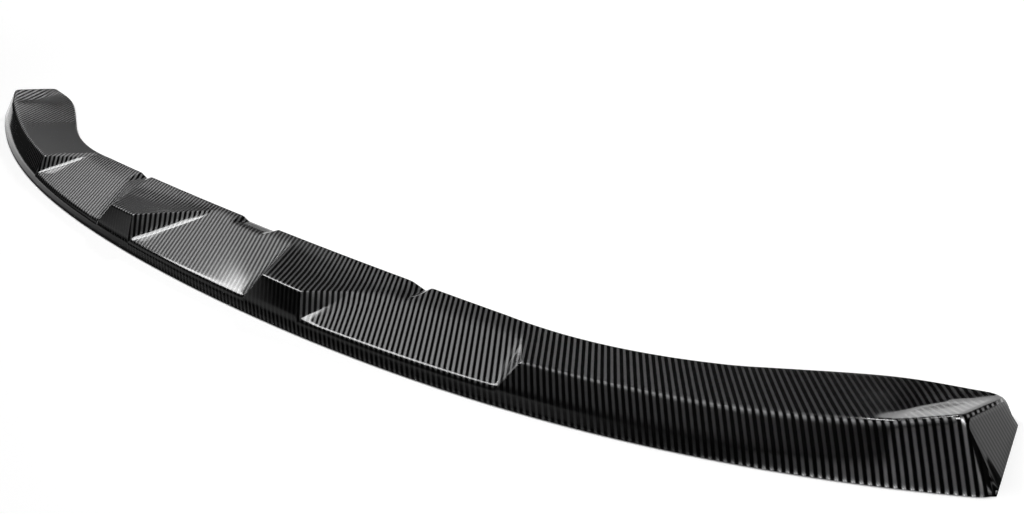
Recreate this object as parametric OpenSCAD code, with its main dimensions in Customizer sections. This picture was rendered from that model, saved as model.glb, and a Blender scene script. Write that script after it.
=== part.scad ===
// Front splitter lip: one thin moulded shell that lies under the front of a car.
// Two raised fins stand on either side of a wide centre recess, an outer recess
// follows each fin, and a swept-back wing closes each side.
// The outside is a loft through ribs that run from the front edge to the rear edge.
// Sizes are in millimetres. X is across, Y runs back, Z is up, and the front edge lies on Z = 0.

/* [Overall] */
// Width across the two tips
lip_w = 1500; // [1450:5:1600]
// Depth from the front edge in the middle to the rear corners of the wings
lip_depth = 216; // [206:1:240]
// Thickness of the moulding
wall = 3; // [2:0.25:4]
// Radius-like softening of every edge that runs along the lip
edge_soft = 2.5; // [0.5:0.25:4]

/* [Front edge] */
// How far the front edge bows back by the tips
bow = 84; // [70:1:95]
// Further sweep of the front edge, felt mostly at the tips
tip_sweep = 49; // [35:1:60]
// Height of the steep band along the bottom of the front
band_h = 13.5; // [10:0.5:16]
// How far the top of the band lies behind the front edge, in the middle
band_lean = 7; // [5:0.5:9]
// How much further it lies back at the tips
band_lean_tip = 4; // [0:0.5:6]

/* [Rear edge] */
// Distance of the rear edge behind the front edge, in the middle
rear_y = 111; // [106:1:116]
// Slight bow of the rear edge between the wings
rear_bow = 7; // [0:0.5:10]
// Height of the top of the rear edge between the wings
rear_h = 10.5; // [7:0.5:12]
// Length over which the floor of the recesses rolls down to the rear edge
roll_l = 14; // [8:1:18]
// Height of the top of the rear edge at the back of the wings
rear_h_wing = 5; // [4:0.5:8]
// Where the rear edge starts to curve back along the wing
rear_curve_x = 360; // [340:5:390]
// Share of the swept rear edge that is curved; the rest is straight
rear_curved = 0.66; // [0.5:0.02:0.9]

/* [Centre pocket] */
// Width of the sloped pocket in the middle of the rear edge
pocket_w = 65; // [40:1:90]
// Width of each sloped side of the pocket, at the rear edge
pocket_side = 7; // [3:1:12]
// Length of the pocket, forward from the rear edge
pocket_l = 18; // [12:1:22]
// Depth of the pocket at the rear edge
pocket_d = 5; // [2:0.5:6]

/* [Fins] */
// Distance of a fin's middle from the middle of the lip
fin_x = 153; // [140:1:165]
// Width of a fin's front face at its foot
fin_foot_w = 83; // [70:1:95]
// Width of a fin's front face at its top
fin_top_w = 56; // [40:1:66]
// Height of a fin's front face at its inner corner
fin_h = 32; // [26:0.5:36]
// Height that the fin's top edge loses towards its outer corner
fin_fall = 2.5; // [0:0.5:5]
// How far a fin's top edge lies behind the front edge
fin_back = 27.5; // [24:0.5:32]
// Distance back from the front edge at which the inner side wall runs out
fin_tail_in = 98; // [90:1:100]
// How far the inner side wall drifts towards the middle by then
fin_drift_in = 39; // [20:1:46]
// Distance back from the front edge at which the outer side wall runs out
fin_tail_out = 66; // [60:1:72]
// How far the outer side wall drifts outwards by then
fin_drift_out = 19; // [12:1:24]
// Height that is left above the recess floor where the outer side wall runs out
fin_shoulder_h = 5; // [2:0.5:7]
// How far the soft shoulder behind it drifts outwards
fin_shoulder_out = 18; // [12:1:22]
// Width over which that shoulder levels out into the outer recess
shoulder_spread = 40; // [30:1:44]
// How far the fin's top sags between its two side edges
fin_sag = 1.5; // [0:0.5:5]

/* [Rear notches] */
// Distance of a notch's lowest point from the middle of the lip
notch_x = 258; // [245:1:268]
// Width of the gentle inner slope of a notch
notch_in_w = 17; // [14:1:20]
// Width of the steep outer slope of a notch
notch_out_w = 10; // [7:1:12]
// Length of a notch, forward from the rear edge
notch_l = 28; // [20:1:32]
// Depth of a notch at the rear edge
notch_d = 6; // [2:0.5:6.5]

/* [Wings] */
// Distance of a wing's inner corner from the middle of the lip, at the band
wing_x = 414; // [400:1:430]
// How much further out the corner's top lies
wing_corner_lean = 10; // [4:1:16]
// Height of the wing's crease at its inner corner
wing_h = 27; // [22:0.5:31]
// How far the crease lies behind the front edge
wing_back = 30; // [26:0.5:34]
// Distance back from the front edge at which the wing's inner wall runs out
wing_tail_y = 100; // [92:1:102]
// How far the inner wall drifts towards the middle by then
wing_tail_drift = 25; // [12:1:32]

/* [Tips] */
// Height of the peak of each tip
tip_h = 39.5; // [36:0.5:46]
// Distance of the peak inside the widest point
tip_peak_in = 30.5; // [24:0.5:36]
// Distance of the peak behind the front edge in the middle
tip_peak_y = 156; // [150:1:162]
// Height of the rear corner of each tip
tip_rear_h = 14.5; // [10:0.5:18]
// How much narrower the end face's foot is at the rear
tip_taper = 7.5; // [4:0.5:12]
// Where the foot of the end face stops, in front of the rear corner
tip_foot_short = 9; // [4:1:16]
// Distance of the light top facet's start from the widest point
facet_in = 68; // [56:1:80]
// Width of that facet at its start
facet_start_w = 7; // [4:0.5:12]
// How far the knee of the facet's rear border lies in front of the rear corners
facet_knee_in = 24; // [18:1:34]
// Where that border meets the end face, as a share of its top edge from the rear corner
facet_stop = 0.22; // [0.1:0.02:0.4]
// Distance of the wing's rear bend from the widest point
rear_bend_in = 90; // [80:1:100]
// Distance of the wing's rear bend in front of the rear corner
rear_bend_short = 5; // [2:1:10]

/* [Mesh] */
// Ribs across the outer recess and along each wing
long_ribs = 12; // [6:1:20]

/* [Hidden] */

half_w = lip_w / 2;
// The seam is the small gap kept where two creases run into one
seam = 4;
corner_r = 6;
shift_back = 0.6;
shift_down = 1.1;
last = 5;
// Part of the shoulder's spread that is left at the front edge, and height left on its first rib
spread_front = 0.6;
shoulder_left = 1;
// Place of the rib on the notch's gentle slope
ramp = 0.6;
// Places of the middle and rear points on a wing's ribs, and of the rear ones near the tip
wing_middle = 0.4;
wing_rear = 0.76;
rear_share = 0.6;
tip_soft = 1;

fin_in = fin_x - fin_foot_w / 2;
fin_out = fin_x + fin_foot_w / 2;
fin_top_in = fin_x - fin_top_w / 2;
fin_top_out = fin_x + fin_top_w / 2;
wing_top_x = wing_x + wing_corner_lean;
facet_x = half_w - facet_in;
rear_bend_x = half_w - rear_bend_in;
rear_bend_y = lip_depth - rear_bend_short;
rear_bend = [rear_bend_x, rear_bend_y, rear_h_wing];

function mix(a, b, t) = a + (b - a) * t;
function unit(v) = v / norm(v);
function clamp01(t) = min(1, max(0, t));

// Plan and height of the front edge, and the top of its band
function front_y(x) = bow * pow(x / half_w, 2) + tip_sweep * pow(x / half_w, 4);
function edge_at(x) = [x, front_y(x), 0];
function band_at(x) = [x, front_y(x) + band_lean + band_lean_tip * pow(x / half_w, 2), band_h];

// Plan of the rear edge: nearly straight, then a curve that runs into a straight sweep
function rear_t(x) = (x - rear_curve_x) / (rear_bend_x - rear_curve_x);
function sweep(t) = let (c = rear_curved, n = c * (2 - c))
    t < 0 ? 0 : t < c ? t * t / n : (2 * c * t - c * c) / n;
function rear_plan(x) = x < rear_curve_x
    ? rear_y + rear_bow * pow(x / rear_curve_x, 2)
    : mix(rear_y + rear_bow, rear_bend_y, sweep(rear_t(x)));
function rear_top(x) = mix(rear_h, rear_h_wing, pow(clamp01(rear_t(x) / rear_curved), 2));
function rear_at(x) = [x, rear_plan(x), rear_top(x)];

// The recess floor is level with the band and rolls down to the rear edge
function floor_z(x, y) = let (r = rear_at(x))
    mix(band_h, r[2], clamp01((y - r[1] + roll_l) / roll_l));
function floor_point(x, y) = [x, y, floor_z(x, y)];
// Where the plan line from point a to point b passes a given y
function x_on(a, b, y) = mix(a[0], b[0], (y - a[1]) / (b[1] - a[1]));

// Crease of the wing
function wing_t(x) = (x - wing_top_x) / (half_w - tip_peak_in - wing_top_x);
function crease_at(x) = [x, front_y(x) + wing_back, mix(wing_h, tip_h, pow(wing_t(x), 4))];

// Corners of the flat end face, which leans in and back
tip_peak = [half_w - tip_peak_in, tip_peak_y, tip_h];
foot_front = [half_w, front_y(half_w), 0];
foot_rear = [half_w - tip_taper, lip_depth - tip_foot_short, 0];
end_normal = cross(foot_rear - foot_front, tip_peak - foot_front);
tip_rear = [
    half_w - (end_normal[1] * (lip_depth - foot_front[1]) + end_normal[2] * tip_rear_h) / end_normal[0],
    lip_depth, tip_rear_h];

// The points of every rib: front edge, top of the band, crease or floor, middle, rear, rear edge
crease_y = 32;
middle_y = 66;
function recess_rib(x) = [edge_at(x), band_at(x), floor_point(x, crease_y), floor_point(x, middle_y),
    floor_point(x, rear_plan(x) - roll_l), rear_at(x)];

// Ribs of the centre pocket, which slopes down to the rear edge
pocket_x = pocket_w / 2;
function pocket_rib(x) = let (r = recess_rib(x))
    [r[0], r[1], r[2], r[3], [x, rear_plan(x) - pocket_l, band_h], r[5] - [0, 0, pocket_d]];

// Ribs of a fin follow the feet and the top edges of its two side walls
fin_tail_a = floor_point(fin_in - fin_drift_in, fin_tail_in);
fin_tail_b = [fin_out + fin_drift_out, fin_tail_out, band_h + fin_shoulder_h];
fin_peak_a = [fin_top_in, front_y(fin_top_in) + fin_back, fin_h];
fin_peak_b = [fin_top_out, front_y(fin_top_out) + fin_back, fin_h - fin_fall];
shoulder = [fin_tail_b[0] + fin_shoulder_out, rear_plan(notch_x) - notch_l, band_h];
notch_in_x = notch_x - notch_in_w;
notch_out_x = notch_x + notch_out_w;
notch_y = rear_plan(notch_x) - notch_l;
function notch_at(x, share) = rear_at(x) - [0, 0, notch_d * share];

function foot_at(x0, tail, y) = [x_on(band_at(x0), tail, y), y, band_h];

fin_foot_a = [edge_at(fin_in - 2), band_at(fin_in),
    foot_at(fin_in, fin_tail_a, fin_peak_a[1]), foot_at(fin_in, fin_tail_a, middle_y),
    fin_tail_a, rear_at(fin_tail_a[0] - seam)];
fin_top_a = [edge_at(fin_in), band_at(fin_in + 2), fin_peak_a,
    mix(fin_peak_a, fin_tail_a, 0.55) + [seam / 2, 0, 0],
    fin_tail_a + [seam, 0, 0], rear_at(fin_tail_a[0])];
fin_top_b = [edge_at(fin_out - 2), band_at(fin_out - 4), fin_peak_b,
    fin_tail_b - [seam / 2, 0, 0], shoulder - [seam / 2, 0, 0], notch_at(notch_in_x - seam, 0)];
fin_foot_b = [edge_at(fin_out + 1), band_at(fin_out),
    mix(band_at(fin_out), fin_tail_b, 0.5), fin_tail_b + [seam / 2, -1, -0.5],
    shoulder + [seam / 2, 0, 0], notch_at(notch_in_x + seam / 2, 0.1)];
function fin_rib(t) = let (r = blend_rib(fin_top_a, fin_top_b, t))
    [edge_at(r[0][0]), band_at(r[1][0]), r[2], r[3] - [0, 0, 4 * t * (1 - t) * fin_sag],
        r[4], rear_at(r[last][0])];

// Ribs of the rear notch spread from the shoulder to the outer recess
function spread_x(x, share) = x + shoulder_spread * share;
function spread_rib(share, level, rear, rear_edge) = let (x = spread_x(fin_out, share * spread_front))
    [edge_at(x), band_at(x), [spread_x(fin_out, share), crease_y, band_h + level / 2],
        [spread_x(fin_tail_b[0], share), middle_y, band_h + level], rear, rear_edge];
shoulder_rib = spread_rib(0.4, shoulder_left, [mix(shoulder[0], notch_x, ramp), notch_y, band_h],
    notch_at(mix(notch_in_x, notch_x, ramp), ramp));
notch_rib = spread_rib(0.75, 0, [notch_x, notch_y, band_h - shoulder_left / 2], notch_at(notch_x, 1));
notch_out_rib = spread_rib(1, 0, [notch_out_x, notch_y, band_h], rear_at(notch_out_x));

// Ribs of a wing: the first two follow the foot and the top edge of the inner wall
wing_tail = floor_point(wing_x - wing_tail_drift, wing_tail_y);
wing_peak = crease_at(wing_top_x);
wing_foot_rib = [edge_at(wing_x - 5), band_at(wing_x - 1),
    foot_at(wing_x, wing_tail, wing_peak[1]), foot_at(wing_x, wing_tail, 82),
    wing_tail, rear_at(wing_tail[0] - 9)];
wing_top_rib = [edge_at(wing_x), band_at(wing_x + 3), wing_peak,
    mix(wing_peak, wing_tail, 0.5) + [seam / 2, 0, 0],
    wing_tail + [seam, 0, 0], rear_at(wing_tail[0] - 4)];

// Along the wing the ribs fan out: their rear ends trail the crease
function wing_rib(t) = let (
        c = crease_at(mix(wing_top_x, facet_x, t)),
        r = rear_at(mix(wing_tail[0] - 4, rear_bend_x, t)),
        x = mix(wing_x, facet_x + corner_r, t))
    [edge_at(x), band_at(x), c, mix(c, r, mix(wing_middle, facet_start_w / norm(c - r), pow(t, 3))),
        mix(c, r, mix(wing_rear, rear_share, t)), r];

// Last ribs: from the start of the top facet to the edges of the end face
corner_foot = edge_at(half_w - corner_r);
tip_rib = [corner_foot, mix(corner_foot, tip_peak, band_h / tip_h), tip_peak,
    mix(tip_rear, tip_peak, facet_stop), tip_rear - [tip_soft, 0, tip_soft / 2],
    mix(tip_rear, rear_bend, 0.08)];
foot_rib = [for (s = [0, 0.06, 0.16, 0.86, 0.94, 1])
    mix(foot_front + [0, corner_r / 2, 0], foot_rear, s)];

// Ribs in between are blends that keep to the plan of the front and rear edges
function blend_rib(a, b, t) = [for (j = [0:last]) mix(a[j], b[j], t)];
function floor_rib(a, b, t) = let (r = blend_rib(a, b, t))
    [edge_at(r[0][0]), band_at(r[1][0]), for (j = [2:last - 1]) r[j], rear_at(r[last][0])];
// The facet's rear border is a curve with one knee, straight behind the facet's start
facet_knee = [facet_x, lip_depth - facet_knee_in, rear_h_wing];
function facet_border(t) = let (a = wing_rib(1)[3], b = tip_rib[3])
    mix(mix(a, facet_knee, t), mix(facet_knee, b, t), t);
function facet_rib(t) = let (r = blend_rib(wing_rib(1), tip_rib, t), b = facet_border(t))
    [edge_at(r[0][0]), r[1], r[2], b, mix(b, r[last], rear_share), r[last]];

// Every rib of the right half, from the middle outwards
half_ribs = [
    for (x = [0, pocket_x / 2, pocket_x - pocket_side]) pocket_rib(x),
    recess_rib(pocket_x),
    floor_rib(recess_rib(pocket_x), fin_foot_a, 0.5),
    fin_foot_a,
    fin_top_a,
    for (t = [0.25, 0.5, 0.75]) fin_rib(t),
    fin_top_b,
    fin_foot_b,
    shoulder_rib,
    notch_rib,
    notch_out_rib,
    for (i = [1:long_ribs - 1]) floor_rib(notch_out_rib, wing_foot_rib, i / long_ribs),
    wing_foot_rib,
    wing_top_rib,
    for (i = [1:long_ribs]) wing_rib(i / long_ribs),
    for (t = [0.15, 0.3, 0.5, 0.7, 0.85]) facet_rib(t),
    tip_rib,
    foot_rib];

// Softened rib: each inner corner becomes a short three-point curve
function soft_corner(a, p, b) = let (
        u = min(edge_soft, norm(a - p) * 0.4),
        v = min(edge_soft, norm(b - p) * 0.4),
        q = p + u * unit(a - p),
        s = p + v * unit(b - p))
    [q, (q + 2 * p + s) / 4, s];
function soften(rib) = [rib[0],
    for (j = [1:last - 1]) each soft_corner(rib[j - 1], rib[j], rib[j + 1]), rib[last]];

function mirrored(rib) = [for (p = rib) [-p[0], p[1], p[2]]];

outer_half = [for (r = half_ribs) soften(r)];
outer_skin = [for (i = [len(outer_half) - 1:-1:1]) mirrored(outer_half[i]), each outer_half];
rows = len(outer_skin);
cols = len(outer_skin[0]);

// Inner skin: the outer skin moved in by the wall, with its foot kept on the floor
rim = 1.3 * wall;
function inside(p, j) = [p[0] * (1 - wall / half_w), p[1] + shift_back * wall * (1 - j / (cols - 1)),
    p[2] - shift_down * wall];
function inner_point(i, j) = let (p = outer_skin[i][j])
    i == 0 || i == rows - 1 ? [p[0] - sign(p[0]) * rim, p[1] + (j == 0 ? rim / 2 : 0), 0]
    : j == 0 ? [p[0] * (1 - rim / half_w), p[1] + rim, 0]
    : let (q = inside(p, j)) [q[0], q[1], max(q[2], 0.2)];
inner_skin = [for (i = [0:rows - 1]) [for (j = [0:cols - 1]) inner_point(i, j)]];

function at(i, j) = i * cols + j;
inner_start = rows * cols;

skin_faces = [for (i = [0:rows - 2], j = [0:cols - 2]) each [
    [at(i, j), at(i, j + 1), at(i + 1, j + 1)],
    [at(i, j), at(i + 1, j + 1), at(i + 1, j)]]];
inner_faces = [for (f = skin_faces) [f[2] + inner_start, f[1] + inner_start, f[0] + inner_start]];

// The border runs once round the skin and closes the shell between its two sides
border = [
    for (j = [0:cols - 2]) at(0, j),
    for (i = [0:rows - 2]) at(i, cols - 1),
    for (j = [cols - 1:-1:1]) at(rows - 1, j),
    for (i = [rows - 1:-1:1]) at(i, 0)];
border_faces = [for (k = [0:len(border) - 1])
    let (a = border[k], b = border[(k + 1) % len(border)]) each [
        [a, a + inner_start, b],
        [b, a + inner_start, b + inner_start]]];

module splitter_lip() {
    color("#26282b")
        translate([0, -lip_depth / 2, 0])
            polyhedron(
                points = concat([for (r = outer_skin) each r], [for (r = inner_skin) each r]),
                faces = concat(skin_faces, inner_faces, border_faces));
}

splitter_lip();
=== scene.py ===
# %% [markdown]
# # Front splitter lip
# A splitter lip is a long, thin moulding under the nose of a car. This one is a single skin
# with raised fins, sunk recesses and wings that sweep back, and it lies on a white floor.
# It could be sculpted by hand, but then no size could be changed later. Here every line is
# worked out from named sizes. The imported CAD model is loaded first: it gives the width and
# the box, whose size is printed.

import math

import bpy
import numpy as np
from mathutils import Matrix, Vector


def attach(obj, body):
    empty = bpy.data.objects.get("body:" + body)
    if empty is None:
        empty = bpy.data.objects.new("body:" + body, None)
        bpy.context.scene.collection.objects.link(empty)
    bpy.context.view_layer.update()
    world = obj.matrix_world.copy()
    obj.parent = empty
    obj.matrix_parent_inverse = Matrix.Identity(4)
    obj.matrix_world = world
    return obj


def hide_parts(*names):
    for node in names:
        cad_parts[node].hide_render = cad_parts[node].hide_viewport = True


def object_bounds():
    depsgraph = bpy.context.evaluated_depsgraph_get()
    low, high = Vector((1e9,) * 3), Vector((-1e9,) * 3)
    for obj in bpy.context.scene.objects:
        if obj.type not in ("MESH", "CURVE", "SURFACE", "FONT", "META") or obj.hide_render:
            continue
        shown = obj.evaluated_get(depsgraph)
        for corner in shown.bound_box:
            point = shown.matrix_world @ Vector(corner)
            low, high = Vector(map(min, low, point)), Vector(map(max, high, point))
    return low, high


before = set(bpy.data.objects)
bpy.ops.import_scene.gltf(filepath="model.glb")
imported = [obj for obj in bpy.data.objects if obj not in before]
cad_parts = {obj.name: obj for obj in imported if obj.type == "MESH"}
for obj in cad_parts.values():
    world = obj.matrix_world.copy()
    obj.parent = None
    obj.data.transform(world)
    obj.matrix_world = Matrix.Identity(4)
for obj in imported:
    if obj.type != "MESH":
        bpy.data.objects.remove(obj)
box_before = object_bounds()
low, high = box_before
print("CAD box in metres:", [round(v, 4) for v in (high - low)])

# %% [markdown]
# ## Driving sizes
# The mould for such a lip is drawn in millimetres, and Blender counts in metres. All points
# are worked out in millimetres and turned into metres once, when the mesh is made, so that
# the values read like those on a drawing. X runs across the car, Y runs from the middle of
# the front edge to the rear, and Z runs up from the floor.

# %% Driving sizes
MM = 0.001
half_w = (high.x - low.x) / 2 / MM
depth = 216.0
wall = 3.0


def point(x, y, z):
    return np.array((x, y, z), float)


def mix(a, b, t):
    """The value at the share t of the way from a to b."""
    return a + (b - a) * t


def clamp01(t):
    return min(1.0, max(0.0, t))


print("half width", round(half_w, 2), "mm, depth", depth, "mm, wall", wall, "mm")

# %% [markdown]
# ## Front and rear edges
# Seen from above, the front edge bows back towards the tips, and a steep band stands on it.
# The rear edge is nearly straight in the middle, then sweeps back along the wings. Both
# could be curve objects, but a formula gives the exact point at any place across the lip,
# and the ribs below need that. Even powers of x keep the middle flat, and the fourth power
# bends only the last stretch before a tip.

# %% Front and rear edges
bow, tip_sweep = 84.0, 49.0
band_h, band_lean, band_lean_tip = 13.5, 7.0, 4.0
rear_y, rear_bow, rear_h, rear_h_wing = 111.0, 7.0, 10.5, 5.0
rear_curve_x, rear_curved, roll_l = 360.0, 0.66, 14.0
rear_bend_x, rear_bend_y = half_w - 90.0, depth - 5.0


def front_y(x):
    return bow * (x / half_w) ** 2 + tip_sweep * (x / half_w) ** 4


def edge_at(x):
    return point(x, front_y(x), 0)


def band_at(x):
    return point(x, front_y(x) + band_lean + band_lean_tip * (x / half_w) ** 2, band_h)


def rear_t(x):
    """0 where the rear edge starts to sweep back, 1 at its bend near the tip."""
    return (x - rear_curve_x) / (rear_bend_x - rear_curve_x)


def sweep(t):
    """Rises on a curve up to the share rear_curved, then straight on to 1."""
    c = rear_curved
    n = c * (2 - c)
    if t < 0:
        return 0.0
    return t * t / n if t < c else (2 * c * t - c * c) / n


def rear_plan(x):
    if x < rear_curve_x:
        return rear_y + rear_bow * (x / rear_curve_x) ** 2
    return mix(rear_y + rear_bow, rear_bend_y, sweep(rear_t(x)))


def rear_at(x):
    sunk = clamp01(rear_t(x) / rear_curved) ** 2
    return point(x, rear_plan(x), mix(rear_h, rear_h_wing, sunk))


print("the front edge bows back by", round(front_y(half_w), 1), "mm")
print("the rear edge lies at", round(rear_plan(0), 1), "mm in the middle and at",
      round(rear_bend_y, 1), "mm at the bend")

# %% [markdown]
# ## Ribs of the recess and the pocket
# The middle of the lip is a sunk floor that rolls down to the rear edge, with a shallow
# pocket there. Such forms could be cut into a slab, but a moulding flows from one form into
# the next, and ribs can follow that. A rib is a line of six points from the front to the
# rear: front edge, top of the band, crease, middle, back and rear edge. Ribs may lean and
# fan out freely, because each one has the same six points.

# %% Ribs of the recess and the pocket
EDGE, BAND, CREASE, MIDDLE, BACK, REAR = range(6)
crease_y, middle_y = 32.0, 66.0
pocket_x, pocket_side, pocket_l, pocket_d = 32.5, 7.0, 18.0, 5.0


def floor_point(x, y):
    rear = rear_at(x)
    rolled = clamp01((y - rear[1] + roll_l) / roll_l)
    return point(x, y, mix(band_h, rear[2], rolled))


def recess_rib(x):
    return [edge_at(x), band_at(x), floor_point(x, crease_y), floor_point(x, middle_y),
            floor_point(x, rear_plan(x) - roll_l), rear_at(x)]


def pocket_rib(x):
    dip = [point(x, rear_plan(x) - pocket_l, band_h), rear_at(x) - point(0, 0, pocket_d)]
    return recess_rib(x)[:BACK] + dip


def blend_rib(a, b, t):
    return [mix(p, q, t) for p, q in zip(a, b)]


def floor_rib(a, b, t):
    """A rib between two others, put back on the front edge, the band and the rear edge."""
    rib = blend_rib(a, b, t)
    front = [edge_at(rib[EDGE][0]), band_at(rib[BAND][0])]
    return front + rib[CREASE:REAR] + [rear_at(rib[REAR][0])]


print("the pocket is", 2 * pocket_x, "mm wide and", pocket_d, "mm deep at the rear edge")

# %% [markdown]
# ## Corners of a fin
# A fin is a raised block whose top widens to the rear. Its inner wall gets lower and runs
# out into the floor of the recess, and its outer wall ends on a soft shoulder. The fin could
# be a box with a bevel, but the real one is fixed by a few corners: two peaks at the front,
# where the walls are highest, and a tail at the rear of each wall. So these points come
# first, and the notch in the rear edge behind the fin is placed with them.

# %% Corners of a fin
fin_x, fin_foot_w, fin_top_w, fin_h, fin_fall, fin_back = 153.0, 83.0, 56.0, 32.0, 2.5, 27.5
fin_tail_in, fin_drift_in, fin_tail_out, fin_drift_out = 98.0, 39.0, 66.0, 19.0
shoulder_h, shoulder_out, fin_sag = 5.0, 18.0, 1.5
notch_x, notch_in_w, notch_out_w, notch_l, notch_d = 258.0, 17.0, 10.0, 28.0, 6.0
fin_in, fin_out = fin_x - fin_foot_w / 2, fin_x + fin_foot_w / 2
fin_top_in, fin_top_out = fin_x - fin_top_w / 2, fin_x + fin_top_w / 2
notch_y = rear_plan(notch_x) - notch_l
tail_a = floor_point(fin_in - fin_drift_in, fin_tail_in)
tail_b = point(fin_out + fin_drift_out, fin_tail_out, band_h + shoulder_h)
peak_a = point(fin_top_in, front_y(fin_top_in) + fin_back, fin_h)
peak_b = point(fin_top_out, front_y(fin_top_out) + fin_back, fin_h - fin_fall)
shoulder = point(tail_b[0] + shoulder_out, notch_y, band_h)
print("a fin is", fin_top_w, "mm wide at its front top and ends",
      round(tail_b[0] - tail_a[0], 1), "mm wide")

# %% [markdown]
# ## Ribs of a fin
# A side wall could be one extruded face, but that would end in a hard corner. Here one rib
# follows the foot and another one the top edge of each wall, a on the inner and b on the
# outer side. The wall is then the face between two ribs, and it shrinks to nothing where
# they meet. The ribs keep a seam apart even there, so that no face folds over itself. The
# fin's top sags a little between the walls, as the real one does.

# %% Ribs of a fin
seam, rib_gap = 4.0, 2.0
waist_share, notch_start = 0.55, 0.1
step_b = point(0, 1.0, 0.5)
aside = point(seam / 2, 0, 0)


def notch_at(x, share):
    """The rear edge, lowered by a share of the notch's depth."""
    return rear_at(x) - point(0, 0, notch_d * share)


def foot_at(x, tail, y):
    """A point at the foot of a wall, on the line from the band to the wall's tail."""
    start = band_at(x)
    return point(mix(start[0], tail[0], (y - start[1]) / (tail[1] - start[1])), y, band_h)


fin_foot_a = [edge_at(fin_in - rib_gap), band_at(fin_in), foot_at(fin_in, tail_a, peak_a[1]),
              foot_at(fin_in, tail_a, middle_y), tail_a, rear_at(tail_a[0] - seam)]
fin_top_a = [edge_at(fin_in), band_at(fin_in + rib_gap), peak_a,
             mix(peak_a, tail_a, waist_share) + aside, tail_a + 2 * aside, rear_at(tail_a[0])]
fin_top_b = [edge_at(fin_out - rib_gap), band_at(fin_out - 2 * rib_gap), peak_b,
             tail_b - aside, shoulder - aside, notch_at(notch_x - notch_in_w - seam, 0)]
fin_foot_b = [edge_at(fin_out + rib_gap / 2), band_at(fin_out),
              mix(band_at(fin_out), tail_b, 0.5), tail_b + aside - step_b, shoulder + aside,
              notch_at(notch_x - notch_in_w + seam / 2, notch_start)]


def fin_rib(t):
    rib = blend_rib(fin_top_a, fin_top_b, t)
    sag = point(0, 0, 4 * t * (1 - t) * fin_sag)
    return [edge_at(rib[EDGE][0]), band_at(rib[BAND][0]), rib[CREASE], rib[MIDDLE] - sag,
            rib[BACK], rear_at(rib[REAR][0])]


print("a fin's inner wall is", round(peak_a[2] - band_h, 1), "mm high at the front")

# %% [markdown]
# ## Ribs of the rear notch
# Behind each fin the rear edge has a notch, with a gentle slope on the fin's side and a
# steep one on the other. It could be cut with a boolean, but three more ribs give the same
# form and keep clean four-sided faces. They also let the fin's shoulder fade into the floor.

# %% Ribs of the rear notch
shoulder_spread, shoulder_left, front_spread = 40.0, 1.0, 0.6
ramp, slope_share, notch_share = 0.6, 0.4, 0.75


def spread_rib(share, level, back, rear):
    """A rib beside the fin, a share of the shoulder's spread away, on a floor so much up."""
    out = shoulder_spread * share
    x = fin_out + front_spread * out
    return [edge_at(x), band_at(x), point(fin_out + out, crease_y, band_h + level / 2),
            point(tail_b[0] + out, middle_y, band_h + level), back, rear]


notch_end_x = notch_x + notch_out_w
shoulder_rib = spread_rib(slope_share, shoulder_left,
                          point(mix(shoulder[0], notch_x, ramp), notch_y, band_h),
                          notch_at(mix(notch_x - notch_in_w, notch_x, ramp), ramp))
notch_rib = spread_rib(notch_share, 0, point(notch_x, notch_y, band_h - shoulder_left / 2),
                       notch_at(notch_x, 1))
notch_out_rib = spread_rib(1, 0, point(notch_end_x, notch_y, band_h), rear_at(notch_end_x))
print("the notch is", notch_in_w + notch_out_w, "mm wide and", notch_d, "mm deep")

# %% [markdown]
# ## Corners of a wing and its tip
# A wing rises from the outer recess to a crease, and at the tip the crease meets a flat end
# face that leans in. That face has to be truly flat, because the lip is fitted there. So it
# isn't drawn point by point: three of its corners are chosen, the cross product of two of
# its sides gives the plane, and the fourth corner is worked out to lie in it.

# %% Corners of a wing and its tip
wing_x, wing_top_x, wing_h, wing_back = 414.0, 424.0, 27.0, 30.0
wing_tail_in, wing_tail_y, wing_middle_y = 25.0, 100.0, 82.0
tip_h, tip_rear_h, corner_r, late_rise = 39.5, 14.5, 6.0, 4
tip_in, tip_y, foot_in, foot_short = 30.5, 156.0, 7.5, 9.0
wing_tail = floor_point(wing_x - wing_tail_in, wing_tail_y)
tip_peak = point(half_w - tip_in, tip_y, tip_h)
foot_front = edge_at(half_w)
foot_rear = point(half_w - foot_in, depth - foot_short, 0)
end_normal = np.cross(foot_rear - foot_front, tip_peak - foot_front)
rear_drop = end_normal[1] * (depth - foot_front[1]) + end_normal[2] * tip_rear_h
tip_rear = point(half_w - rear_drop / end_normal[0], depth, tip_rear_h)
rear_bend = point(rear_bend_x, rear_bend_y, rear_h_wing)


def crease_at(x):
    """The crease along a wing, which rises only on its last stretch."""
    t = (x - wing_top_x) / (tip_peak[0] - wing_top_x)
    return point(x, front_y(x) + wing_back, mix(wing_h, tip_h, t ** late_rise))


wing_peak = crease_at(wing_top_x)
lean = math.degrees(math.acos(abs(end_normal[2]) / np.linalg.norm(end_normal)))
print("the end face stands at", round(lean, 1), "degrees to the floor")

# %% [markdown]
# ## Ribs of a wing
# The wing starts with a wall like a fin's, so it has a foot rib and a top rib too. From
# there the ribs fan out, each from its own place on the front edge to its own place on the
# rear edge, and cross the crease on the way. A lattice or a bend modifier could sweep one
# section along, but the section changes all the way: the two points behind the crease move
# towards it, until they make the start of the facet at the tip.

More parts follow.
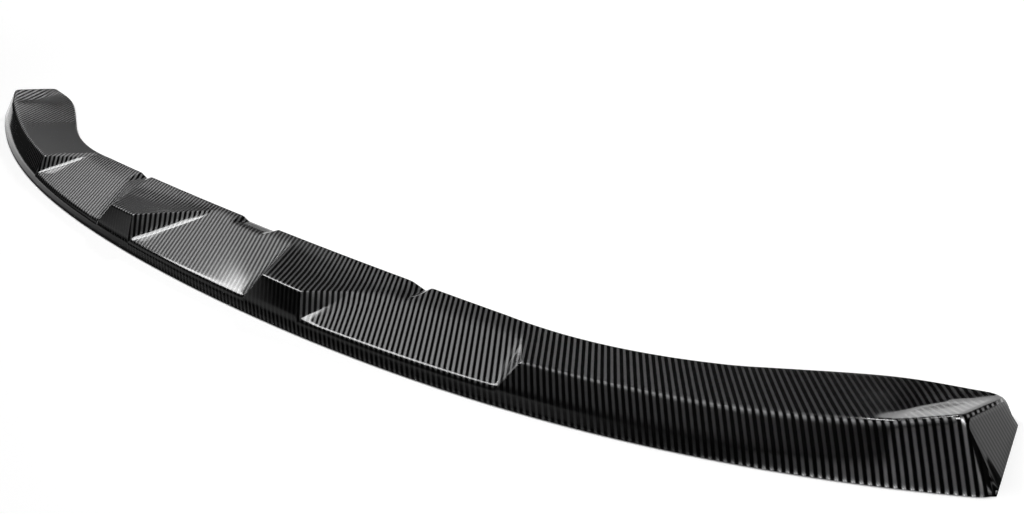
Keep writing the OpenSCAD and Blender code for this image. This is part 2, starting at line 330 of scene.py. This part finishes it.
# %% Ribs of a wing
edge_in_foot, band_in_foot, rear_in_foot = 5.0, 1.0, 9.0
band_out_top, rear_in_top = 3.0, 4.0
facet_x, facet_start_w = half_w - 68.0, 7.0
inner_share, outer_share, rear_share = 0.4, 0.76, 0.6
wing_foot_rib = [edge_at(wing_x - edge_in_foot), band_at(wing_x - band_in_foot),
                 foot_at(wing_x, wing_tail, wing_peak[1]),
                 foot_at(wing_x, wing_tail, wing_middle_y), wing_tail,
                 rear_at(wing_tail[0] - rear_in_foot)]
wing_top_rib = [edge_at(wing_x), band_at(wing_x + band_out_top), wing_peak,
                mix(wing_peak, wing_tail, 0.5) + aside, wing_tail + 2 * aside,
                rear_at(wing_tail[0] - rear_in_top)]


def wing_rib(t):
    crease = crease_at(mix(wing_top_x, facet_x, t))
    rear = rear_at(mix(wing_tail[0] - rear_in_top, rear_bend_x, t))
    x = mix(wing_x, facet_x + corner_r, t)
    facet_share = facet_start_w / np.linalg.norm(crease - rear)
    inner_stop = mix(inner_share, facet_share, t ** 3)
    outer_stop = mix(outer_share, rear_share, t)
    return [edge_at(x), band_at(x), crease, mix(crease, rear, inner_stop),
            mix(crease, rear, outer_stop), rear]


print("a wing is", round(facet_x - wing_top_x, 1), "mm long up to its facet")

# %% [markdown]
# ## Ribs of the tip
# Between the wing and the end face lies a triangular facet, narrow at the wing and wide at
# the end face. Its ribs blend from the last wing rib to the rib on the upper edge of the
# end face. A plain blend would leave the facet's lower side straight, so that side is bent
# towards one more point, the knee, as in a curve with three control points. The very last
# rib lies on the floor along the foot of the end face.

# %% Ribs of the tip
knee_in, facet_stop, rear_stop = 24.0, 0.22, 0.08
facet_knee = point(facet_x, depth - knee_in, rear_h_wing)
step_tip = point(1.0, 0, 0.5)
foot_shares = (0, 0.06, 0.16, 0.86, 0.94, 1)
corner_foot = edge_at(half_w - corner_r)
tip_rib = [corner_foot, mix(corner_foot, tip_peak, band_h / tip_h), tip_peak,
           mix(tip_rear, tip_peak, facet_stop), tip_rear - step_tip,
           mix(tip_rear, rear_bend, rear_stop)]
foot_start = foot_front + point(0, corner_r / 2, 0)
foot_rib = [mix(foot_start, foot_rear, share) for share in foot_shares]


def facet_rib(t):
    first = wing_rib(1)
    rib = blend_rib(first, tip_rib, t)
    to_knee = mix(first[MIDDLE], facet_knee, t)
    rib[EDGE] = edge_at(rib[EDGE][0])
    rib[MIDDLE] = mix(to_knee, mix(facet_knee, tip_rib[MIDDLE], t), t)
    rib[BACK] = mix(rib[MIDDLE], rib[REAR], rear_share)
    return rib


print("the tip is", tip_h, "mm high at its peak")

# %% [markdown]
# ## All ribs in order
# The ribs of one half are put in order from the middle to the tip, and the other half is
# their mirror image, as on the real part. Where two kinds of rib meet at the rear bend, the
# surface would get a small fold. A subdivision surface would melt it away, but the sharp
# crease as well. So only the rear points of the ribs around the bend are averaged with
# their neighbours, a few times over.

# %% All ribs in order
floor_steps, wing_steps, fin_steps = 12, 28, 6
facet_shares = (0.1, 0.2, 0.3, 0.4, 0.5, 0.6)
rear_before, rear_after, rear_rounds = 9, 7, 14
middle_before, middle_after, middle_rounds = 3, 4, 3
half_ribs = [pocket_rib(x) for x in (0, pocket_x / 2, pocket_x - pocket_side)]
half_ribs += [recess_rib(pocket_x), floor_rib(recess_rib(pocket_x), fin_foot_a, 0.5)]
half_ribs += [fin_foot_a, fin_top_a]
half_ribs += [fin_rib(i / fin_steps) for i in range(1, fin_steps)]
half_ribs += [fin_top_b, fin_foot_b, shoulder_rib, notch_rib, notch_out_rib]
half_ribs += [floor_rib(notch_out_rib, wing_foot_rib, i / floor_steps)
              for i in range(1, floor_steps)]
half_ribs += [wing_foot_rib, wing_top_rib]
half_ribs += [wing_rib(i / wing_steps) for i in range(1, wing_steps + 1)]
bend = len(half_ribs) - 1
half_ribs += [facet_rib(t) for t in facet_shares]
half_ribs += [tip_rib, foot_rib]


def soften(zone, rounds):
    """Averages each rib of a zone with both neighbours, and leaves the first and last."""
    for _ in range(rounds):
        zone[1:-1] = (zone[:-2] + 2 * zone[1:-1] + zone[2:]) / 4


half = np.array(half_ribs)
soften(half[bend - rear_before:bend + rear_after, BACK:], rear_rounds)
soften(half[bend - middle_before:bend + middle_after, MIDDLE], middle_rounds)
mirrored = half[:0:-1] * (-1, 1, 1)
outer = np.concatenate([mirrored, half])
print("ribs across the lip:", len(outer))

# %% [markdown]
# ## Inner side of the wall
# A moulded lip is a thin skin, open below. Blender's Solidify modifier could thicken a
# single sheet, but at the sharp tips it would push the inner side through the outer one.
# Here each outer point gets its own inner point: lower by the wall, a little further back
# near the front, and never below the floor. The inner points run back to the front edge, so
# that a rib becomes a closed loop of twelve points.

# %% Inner side of the wall
rim, front_wall, top_wall, least_h = 1.3 * wall, 0.6 * wall, 1.1 * wall, 0.2
backward = np.array((0.0, 0.21, 0.45, 0.68, 0.88, 1.0))
inner = outer.copy()
inner[:, :, 0] *= 1 - wall / half_w
inner[:, :, 1] += front_wall * (1 - backward)
inner[:, :, 2] = np.maximum(outer[:, :, 2] - top_wall, least_h)
inner[:, EDGE] = outer[:, EDGE] * (1 - rim / half_w, 1, 0) + (0, rim, 0)
for end in (0, -1):
    inner[end] = outer[end] - np.sign(outer[end][:, :1]) * (rim, 0, 0)
    inner[end][:, 2] = 0
    inner[end][EDGE, 1] += rim / 2
loops = np.concatenate([outer, inner[:, ::-1]], axis=1)
print("the rim on the floor is", round(rim, 1), "mm wide, and a loop has",
      loops.shape[1], "points")

# %% [markdown]
# ## Rounding a corner
# No corner of a moulding is truly sharp: a small radius catches the light as a thin bright
# line. A Bevel modifier could round them, but it would need a weight on every edge, since
# the fins' top edges are crisp and the tip is soft. So each corner becomes a short curve
# with three control points, which starts and ends one arm away from the corner. An arm is
# cut short where the next corner is near.

# %% Rounding a corner
longest_arm = 0.48


def arm_point(corner, towards, arm):
    span = towards - corner
    size = np.linalg.norm(span, axis=-1, keepdims=True)
    return corner + span * np.minimum(arm, longest_arm * size) / np.maximum(size, 1e-9)


def curve(before, corner, after, arm, steps):
    start, end = arm_point(corner, before, arm), arm_point(corner, after, arm)
    return [(1 - t) ** 2 * start + 2 * t * (1 - t) * corner + t * t * end
            for t in np.linspace(0, 1, steps)]


def rounded(rows, arms, steps, between):
    """Rows of points, with the rows' corners rounded and straight stretches divided."""
    made = [rows[0]]
    for i in range(1, len(rows) - 1):
        turn = curve(rows[i - 1], rows[i], rows[i + 1], arms[i], steps)
        made += [mix(made[-1], turn[0], k / between) for k in range(1, between)] + turn
    return made + [mix(made[-1], rows[-1], k / between) for k in range(1, between + 1)]


def rounded_loop(points, arms, steps, betweens):
    """The same round a closed loop, with an arm for each corner."""
    n = points.shape[1]
    turns = [curve(points[:, k - 1], points[:, k], points[:, (k + 1) % n], arms[k], steps[k])
             for k in range(n)]
    made = []
    for k in range(n):
        made += turns[k]
        there = turns[(k + 1) % n][0]
        made += [mix(turns[k][-1], there, j / betweens[k]) for j in range(1, betweens[k])]
    return made


print("an arm takes at most", longest_arm, "of the way to the next corner")

# %% [markdown]
# ## Rounded edges
# The corners are rounded twice: first from rib to rib, where the walls of the fins and
# wings meet their tops, and then along each loop, where the band meets the floor and the
# top meets the rear edge. The inner foot of a fin and the foot of a wing get a long arm,
# and the top edges get a short one. The crease of a wing gets softer towards the tip.

# %% Rounded edges
edge_arm, sharp_arm, tip_arm = 2.6, 1.3, 6.0
inner_foot_arm, outer_foot_arm, wing_foot_arm = 9.0, 1.5, 7.0
turn_steps, between_turns = 5, 2
arm_of = {id(fin_foot_a): inner_foot_arm, id(fin_foot_b): outer_foot_arm,
          id(wing_foot_rib): wing_foot_arm, id(tip_rib): tip_arm, id(fin_top_a): sharp_arm,
          id(fin_top_b): sharp_arm, id(wing_top_rib): sharp_arm}
half_arms = [arm_of.get(id(rib), edge_arm) for rib in half_ribs]
rib_arms = half_arms[:0:-1] + half_arms
dense_loops = np.array(rounded(list(loops), rib_arms, turn_steps, between_turns))
past_wing_top = abs(dense_loops[:, CREASE, :1]) - wing_top_x
towards_tip = np.clip(past_wing_top / (tip_peak[0] - wing_top_x), 0, 1)
crease_arm = mix(edge_arm, tip_arm, towards_tip)

# One value a corner: the outer side from front to rear, then the inner side back again.
arms = [4.5, 5.0, crease_arm, 6, 6, 0.9] + [0.9, 2, 2, 2, 2, 1.6]
steps = [4, 7, 7, 4, 4, 3] + [3, 2, 2, 2, 2, 2]
betweens = [3, 4, 6, 6, 4, 1] + [2, 3, 3, 2, 2, 1]
grid = np.array(rounded_loop(dense_loops, arms, steps, betweens)).transpose(1, 0, 2)
rows, cols = grid.shape[:2]
print("grid of", rows, "ribs with", cols, "points each")

# %% [markdown]
# ## The mesh
# The skin is now a grid of points, so its faces are easy to list: each one joins two
# neighbouring points of a loop with the same two of the next loop. A loft tool could do
# this, but the grid already holds every point. At both ends the outer and the inner side of
# the last loop are joined, which closes the shell. The Weighted Normal modifier makes the
# large faces look flat and leaves the shading of the curve to the small ones beside them.

# %% The mesh
verts = (grid * MM - (0, depth / 2 * MM, 0)).reshape(-1, 3)
faces = [(i * cols + j, (i + 1) * cols + j, (i + 1) * cols + (j + 1) % cols,
          i * cols + (j + 1) % cols) for i in range(rows - 1) for j in range(cols)]
for start in (0, (rows - 1) * cols):
    ring = [start + j for j in range(cols)]
    pairs = [(ring[j], ring[j + 1], ring[cols - 2 - j], ring[cols - 1 - j])
             for j in range(cols // 2 - 1)]
    faces += [pair[::-1] for pair in pairs] if start else pairs
mesh = bpy.data.meshes.new("moulded_lip")
mesh.from_pydata([tuple(v) for v in verts], [], faces)
mesh.validate()
mesh.shade_smooth()
lip = bpy.data.objects.new("moulded_lip", mesh)
bpy.context.scene.collection.objects.link(lip)
weighted = lip.modifiers.new("face weighted normals", "WEIGHTED_NORMAL")
weighted.keep_sharp = True
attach(lip, "root")
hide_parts("splitter_lip")
print("faces:", len(mesh.polygons))

# %% [markdown]
# ## Small tools for materials
# A material, a lamp's card and the world are all made of nodes. They could be wired up by
# hand in the Shader Editor, but a script says more plainly which value is which. These
# helpers add a node, do a sum, fade from one strength to another, and choose between two
# fixed values, so that the cells below read like sentences.

# %% Small tools for materials
RISE, FALL = (0.0, 1.0), (1.0, 0.0)
mix_sockets = {"VECTOR": (4, 5, 1), "RGBA": (6, 7, 2)}


def feed(tree, socket, value):
    """Links a socket to another node's output, or sets it to a fixed value."""
    if hasattr(value, "is_output"):
        tree.links.new(value, socket)
    else:
        socket.default_value = value


def add(tree, kind, **inputs):
    node = tree.nodes.new(kind)
    for key, value in inputs.items():
        feed(tree, node.inputs[key], value)
    return node


def math_node(tree, operation, a, b=0.0):
    node = tree.nodes.new("ShaderNodeMath")
    node.operation = operation
    feed(tree, node.inputs[0], a)
    feed(tree, node.inputs[1], b)
    return node.outputs[0]


def product(tree, *values):
    result = values[0]
    for value in values[1:]:
        result = math_node(tree, "MULTIPLY", result, value)
    return result


def fade(tree, value, places, strengths=RISE):
    """A smooth change from one strength to another between two places."""
    node = add(tree, "ShaderNodeMapRange", Value=value)
    node.interpolation_type = "SMOOTHSTEP"
    for key, number in zip(("From Min", "From Max", "To Min", "To Max"), places + strengths):
        node.inputs[key].default_value = number
    return node.outputs["Result"]


def choose(tree, kind, factor, first, final):
    """The first of two fixed values where the factor is 0, and the final one where it's 1."""
    node = tree.nodes.new("ShaderNodeMix")
    node.data_type = kind
    at_first, at_final, result = mix_sockets[kind]
    tree.links.new(factor, node.inputs["Factor"])
    node.inputs[at_first].default_value = first
    node.inputs[at_final].default_value = final
    return node.outputs[result]


def coordinates(tree, name):
    return tree.nodes.new("ShaderNodeTexCoord").outputs[name]


def axes_of(tree, vector):
    return add(tree, "ShaderNodeSeparateXYZ", Vector=vector).outputs


def bare_material(name):
    made = bpy.data.materials.new(name)
    made.use_nodes = True
    made.node_tree.nodes.clear()
    return made, made.node_tree


def show(tree, shader, output="ShaderNodeOutputMaterial"):
    tree.links.new(shader.outputs[0], add(tree, output).inputs["Surface"])


print("a Mix node's sockets for its two values and its result:", mix_sockets)

# %% [markdown]
# ## Woven finish
# The skin is carbon cloth under a clear coat. A twill goes over and under in steps, and
# from a few paces those steps read as diagonal stripes, each made of fine rows of fibres.
# A picture of cloth would need the lip to be unwrapped, and would stretch on the walls. A
# pattern from the object's own X and Y needs no unwrapping, stays crisp at any size, and
# lies on the form like cloth that was laid flat into the mould.

# %% Woven finish
tow = 1.75 * MM
weave_turn = math.radians(8.5)
stripe_tows, rows_a_tow = 4.0, 2.0
stripe_edge, row_edge, row_strengths = (0.1, 0.34), (0.2, 0.5), (1.0, 0.35)
stripe_half = 0.36


def off_middle(tree, value):
    """How far a value lies from the middle of its repeat: 0 there, 0.5 at both ends."""
    centred = math_node(tree, "SUBTRACT", math_node(tree, "FRACT", value), 0.5)
    return math_node(tree, "ABSOLUTE", centred)


skin, tree = bare_material("Clear coated twill")
spin = add(tree, "ShaderNodeVectorRotate", Vector=coordinates(tree, "Object"), Angle=weave_turn)
spin.rotation_type = "Z_AXIS"
cloth = axes_of(tree, spin.outputs["Vector"])
across = math_node(tree, "DIVIDE", cloth["X"], tow)
along = math_node(tree, "DIVIDE", cloth["Y"], tow)
stripes = math_node(tree, "DIVIDE", math_node(tree, "ADD", across, along), stripe_tows)
from_middle = off_middle(tree, stripes)
stripe = fade(tree, from_middle, stripe_edge, FALL)
from_row = off_middle(tree, product(tree, along, rows_a_tow))
fine_rows = fade(tree, from_row, row_edge, row_strengths)
lit = product(tree, stripe, fine_rows)
print("a stripe repeats every", round(stripe_tows * tow / MM / math.sqrt(2), 2), "mm")

# %% [markdown]
# ## Run of the fibres
# Carbon fibres shine along a line at right angles to their run, so a tow looks bright or
# dark by the way it lies. Brushed metal does the same, and Blender has that as the
# Anisotropic setting, which needs to know the run of the fibres as the Tangent. In the
# stripes the fibres lie across the car, and between them they lie lengthwise.

# %% Run of the fibres
crosswise = (math.cos(weave_turn), -math.sin(weave_turn), 0)
lengthwise = (math.sin(weave_turn), math.cos(weave_turn), 0)
in_stripe = math_node(tree, "LESS_THAN", from_middle, stripe_half)
fibre_run = choose(tree, "VECTOR", in_stripe, lengthwise, crosswise)
print("fibres in the stripes run along", [round(v, 3) for v in crosswise])

# %% [markdown]
# ## Painted light and shade on the weave
# The weave's tone is painted lighter or darker by the way each face is turned. On the steep
# front the stripes are darkened as painted shade. On the facet at the tip they are raised to
# full strength as a painted highlight, and on the end face they are taken away as painted
# shade. Each place could be its own material, but the joins between them would show. Masks
# from the surface's own direction fade into each other instead. A direction of 1 in X looks
# sideways, and in Z up.

# %% Painted light and shade on the weave
tip_from = (0.5, 0.62)
# Places and strengths of the painted shade and the painted highlight on the weave.
end_turn, facet_highlight_turn = (0.5, 0.66), (0.22, 0.38)
front_shade_turn, front_shade_strengths = (0.84, 0.96), (0.08, 0.24)
facing = axes_of(tree, tree.nodes.new("ShaderNodeNewGeometry").outputs["Normal"])
sideways = math_node(tree, "ABSOLUTE", facing["X"])
near_tip = fade(tree, math_node(tree, "ABSOLUTE", cloth["X"]), tip_from)
# The end face's mask: below, it takes the weave away as painted shade, and the coat's streaks
# use it too.
on_end = product(tree, fade(tree, sideways, end_turn), near_tip)
# Painted highlight: the weave at full strength on the tip's facet.
painted_facet_highlight = product(tree, fade(tree, sideways, facet_highlight_turn), near_tip)
# Painted shade: the weave darkened on steep front faces.
painted_front_shade = fade(tree, math_node(tree, "ADD", facing["Z"], sideways), front_shade_turn,
                 front_shade_strengths)
# Painted light and shade: the weave's strength set by the way a face is turned.
painted_weave_shading = product(tree, math_node(tree, "SUBTRACT", 1.0, on_end),
                      math_node(tree, "MAXIMUM", painted_front_shade, painted_facet_highlight))
print("the tips' finish starts", tip_from[0], "m from the middle")

# %% [markdown]
# ## Clear coat
# Over the cloth lies a coat of clear resin that mirrors the studio. It could be a second
# shell, but Blender's Coat is made for this and costs nothing. Resin runs off steep faces
# before it sets, so the coat is thin there. An end face mirrors a softbox as an even grey,
# and its coat is thinner in streaks, which break up the grey a little.

# %% Clear coat
streaks_a_tow = 0.5
streak_edge, streak_strengths = (0.05, 0.45), (0.05, 0.4)
steep_turn, coat_strengths = (0.4, 0.66), (0.04, 1.0)
streaks = off_middle(tree, product(tree, along, streaks_a_tow))
worn = product(tree, fade(tree, streaks, streak_edge, streak_strengths), on_end)
coat = product(tree, math_node(tree, "SUBTRACT", 1.0, worn),
               fade(tree, facing["Z"], steep_turn, coat_strengths))
print("the coat on steep faces has a weight of", coat_strengths[0])

# %% [markdown]
# ## Skin material
# The cloth is a metal with wide, soft highlights, nearly black between the stripes and
# pale where a stripe shows fully. Plain black plastic would lose the pattern, because it is
# the fibres' shine, and not their colour, that tells the stripes apart. A slight bump lets
# the light play over the stripes.

# %% Skin material
dark_fibre, pale_fibre = (0.002, 0.002, 0.002, 1), (0.94, 0.94, 0.95, 1)
# The tone carries the painted shade and the painted highlight of the weave from the facing
# masks.
tone = add(tree, "ShaderNodeValToRGB", Fac=product(tree, lit, painted_weave_shading))
tone.color_ramp.elements[0].color = dark_fibre
tone.color_ramp.elements[1].color = pale_fibre
bump = add(tree, "ShaderNodeBump", Height=lit, Strength=0.15, Distance=0.1 * MM)
shader = add(tree, "ShaderNodeBsdfPrincipled", Normal=bump.outputs["Normal"], Roughness=0.6,
             Metallic=1.0, Anisotropic=0.9, Tangent=fibre_run)
tree.links.new(tone.outputs["Color"], shader.inputs["Base Color"])
tree.links.new(coat, shader.inputs["Coat Weight"])
shader.inputs["Specular Tint"].default_value = (0, 0, 0, 1)
shader.inputs["Coat Roughness"].default_value = 0.1
shader.inputs["Coat IOR"].default_value = 1.5
show(tree, shader)
mesh.materials.append(skin)
print("skin material with", len(tree.nodes), "nodes")

# %% [markdown]
# ## Floor
# Product photos are taken on a white sweep. A bright lamp could bleach the floor, but it
# would bleach the lip too. Here the floor is a plain matt sheet that adds its own light
# only where it is looked at or mirrored, and more so further away, so that it turns white
# around the lip and still keeps the soft shadow under it.

# %% Floor
reach, gap_below = 6.0, 0.0002
grow_white, white_strengths = (0.8, 3.0), (0.25, 0.9)


def flat_sheet(name, corners):
    sheet = bpy.data.meshes.new(name)
    sheet.from_pydata(corners, [], [(0, 1, 2, 3)])
    made = bpy.data.objects.new(name, sheet)
    bpy.context.scene.collection.objects.link(made)
    return made


def seen_rays(tree):
    """1 for rays that show the background: from the camera, or mirrored or let through."""
    rays = tree.nodes.new("ShaderNodeLightPath").outputs
    seen = math_node(tree, "MAXIMUM", rays["Is Camera Ray"], rays["Is Glossy Ray"])
    return math_node(tree, "MAXIMUM", seen, rays["Is Transmission Ray"])


floor = flat_sheet("studio_floor", [(-reach, -reach, 0), (reach, -reach, 0),
                                    (reach, reach, 0), (-reach, reach, 0)])
floor.location.z = low.z - gap_below
floor_skin, tree = bare_material("White floor")
matt = add(tree, "ShaderNodeBsdfPrincipled", Roughness=1.0)
matt.inputs["Base Color"].default_value = (0.85, 0.85, 0.85, 1)
matt.inputs["Specular IOR Level"].default_value = 0.0
matt.inputs["Emission Color"].default_value = (1, 1, 1, 1)
from_lip = add(tree, "ShaderNodeVectorMath", Vector=coordinates(tree, "Object"))
from_lip.operation = "LENGTH"
lift = product(tree, seen_rays(tree),
               fade(tree, from_lip.outputs["Value"], grow_white, white_strengths))
tree.links.new(lift, matt.inputs["Emission Strength"])
show(tree, matt)
floor.data.materials.append(floor_skin)
print("the floor is", 2 * reach, "m wide")

# %% [markdown]
# ## Lights
# A gloss black part is seen by what it mirrors, so softboxes are used, whose reflections
# are large and even. The main one stands behind and above the near tip. A tall one beyond
# the far tip is mirrored as the bright patch in the recess and on the fins' inner walls. It
# is made of two, so that the lower and upper part have their own power. A weak light
# behind picks out the weave on the near wing. A lamp straight above would put a second
# bright line along every crease, so there is none.

# %% Lights


def area_light(name, place, target, size, power):
    light = bpy.data.lights.new(name, "AREA")
    light.shape = "RECTANGLE"
    light.size, light.size_y = size
    light.energy = power
    lamp = bpy.data.objects.new(name, light)
    bpy.context.scene.collection.objects.link(lamp)
    lamp.location = place
    lamp.rotation_euler = (Vector(target) - Vector(place)).to_track_quat("-Z", "Y").to_euler()
    print(name, "gives", power, "watts")


area_light("main_softbox", place=(1.18, 0.77, 2.65), target=(0, 0, 0), size=(0.9, 0.9), power=55)
side_x, side_y, side_z = -2.2, (-0.1, 0.98), (1.41, 2.9, 4.3)
side_w, side_middle_y = side_y[1] - side_y[0], sum(side_y) / 2
for name, z_from, z_to, power in (("lower_side_softbox", side_z[0], side_z[1], 44),
                                  ("upper_side_softbox", side_z[1], side_z[2], 45)):
    middle_z = (z_from + z_to) / 2
    area_light(name, (side_x, side_middle_y, middle_z), (0, side_middle_y, middle_z),
               (side_w, z_to - z_from), power)
area_light("back_light", place=(-0.2, 2.5, 1.6), target=(0.6, 0, 0), size=(0.6, 0.3), power=14)

# %% [markdown]
# ## Pale wall beyond the far tip
# The far recess and the far wing mirror something pale and soft that fades to all sides,
# as a studio wall does. A lamp would give it a hard edge, so it is a card that shines by
# itself, with a strength that fades towards its borders. The camera doesn't see the card,
# and it throws no light or shadow on the floor.

# %% Pale wall beyond the far tip
card_x, card_y, card_z = side_x - 0.05, (0.0, 2.0), (0.0, 1.6)
bright_y, left_y, right_y = (1.2, 1.6), (0.0, 0.3), (1.8, 2.0)
bright_z, top_z = (0.55, 0.85), (1.45, 1.6)
bright_strength, dimmed, low_strength = 0.5, 0.25, 0.07
card = flat_sheet("pale_wall", [(card_x, card_y[0], card_z[0]), (card_x, card_y[1], card_z[0]),
                                (card_x, card_y[1], card_z[1]), (card_x, card_y[0], card_z[1])])
card.visible_camera = False
card.visible_diffuse = False
card.visible_shadow = False
card_skin, tree = bare_material("Pale wall")
spot = axes_of(tree, coordinates(tree, "Object"))
bright = product(tree, fade(tree, spot["Z"], bright_z, (0.0, bright_strength)),
                 fade(tree, spot["Y"], bright_y, (1.0, dimmed)))
strength = product(tree, math_node(tree, "ADD", bright, low_strength),
                   fade(tree, spot["Y"], left_y), fade(tree, spot["Y"], right_y, FALL),
                   fade(tree, spot["Z"], top_z, FALL))
show(tree, add(tree, "ShaderNodeEmission", Strength=strength))
card.data.materials.append(card_skin)
print("the pale wall is", card_y[1] - card_y[0], "m wide and", card_z[1], "m high")

# %% [markdown]
# ## World
# The world is what shows where there is neither lip nor floor. White light from all sides
# would wash out the black part, so the world gives almost none. Only where it is looked at
# or mirrored is it white below the horizon, past the edge of the floor. A dim patch above
# the horizon at the front left gives the steep faces at the front something to mirror.

# %% World
dim_grey, white = (0.02, 0.02, 0.02, 1), (1, 1, 1, 1)
horizon, patch_bottom, patch_top = (0.0, 0.02), (0.1, 0.25), (0.42, 0.52)
patch_front, patch_left, patch_strength = (-0.4, -0.15), (-0.3, 0.0), 0.35
world = bpy.data.worlds.new("Studio")
bpy.context.scene.world = world
world.use_nodes = True
tree = world.node_tree
tree.nodes.clear()
aim = axes_of(tree, coordinates(tree, "Generated"))
below_horizon = fade(tree, aim["Z"], horizon, FALL)
patch = product(tree, fade(tree, aim["Z"], patch_bottom), fade(tree, aim["Z"], patch_top, FALL),
                fade(tree, aim["Y"], patch_front, (patch_strength, 0.0)),
                fade(tree, aim["X"], patch_left, FALL))
pale_sky = math_node(tree, "ADD", below_horizon, patch)
backdrop = product(tree, pale_sky, seen_rays(tree))
sky = add(tree, "ShaderNodeBackground", Color=choose(tree, "RGBA", backdrop, dim_grey, white))
show(tree, sky, "ShaderNodeOutputWorld")
print("the world's base level is", dim_grey[0])

# %% [markdown]
# ## Camera
# The camera stands low in front of the near tip, so that this tip is large and the far one
# small. Its place, turn and lens weren't found by trial: they follow from the perspective
# of the two mirrored halves. A camera can be aimed with a Track To constraint, but that
# keeps it level, and this one is rolled to the side, so its three axes are worked out.

# %% Camera
azimuth, elevation, roll = (math.radians(v) for v in (45.92, 32.68, -10.26))
camera_place = (0.8235, -0.4223, 0.476)
back = Vector((math.sin(azimuth) * math.cos(elevation), -math.cos(azimuth) * math.cos(elevation),
               math.sin(elevation)))
level_right = (-back).cross(Vector((0, 0, 1))).normalized()
level_up = level_right.cross(-back)
right = math.cos(roll) * level_right + math.sin(roll) * level_up
up = math.cos(roll) * level_up - math.sin(roll) * level_right
lens = bpy.data.cameras.new("camera")
lens.sensor_width, lens.lens = 36, 31.64
camera = bpy.data.objects.new("camera", lens)
bpy.context.scene.collection.objects.link(camera)
turn = Matrix((right, up, back)).transposed().to_4x4()
camera.matrix_world = Matrix.Translation(camera_place) @ turn
bpy.context.scene.camera = camera
bpy.context.scene.view_settings.view_transform = "Standard"
print("camera at", camera_place, "with a lens of", round(lens.lens, 2), "mm")
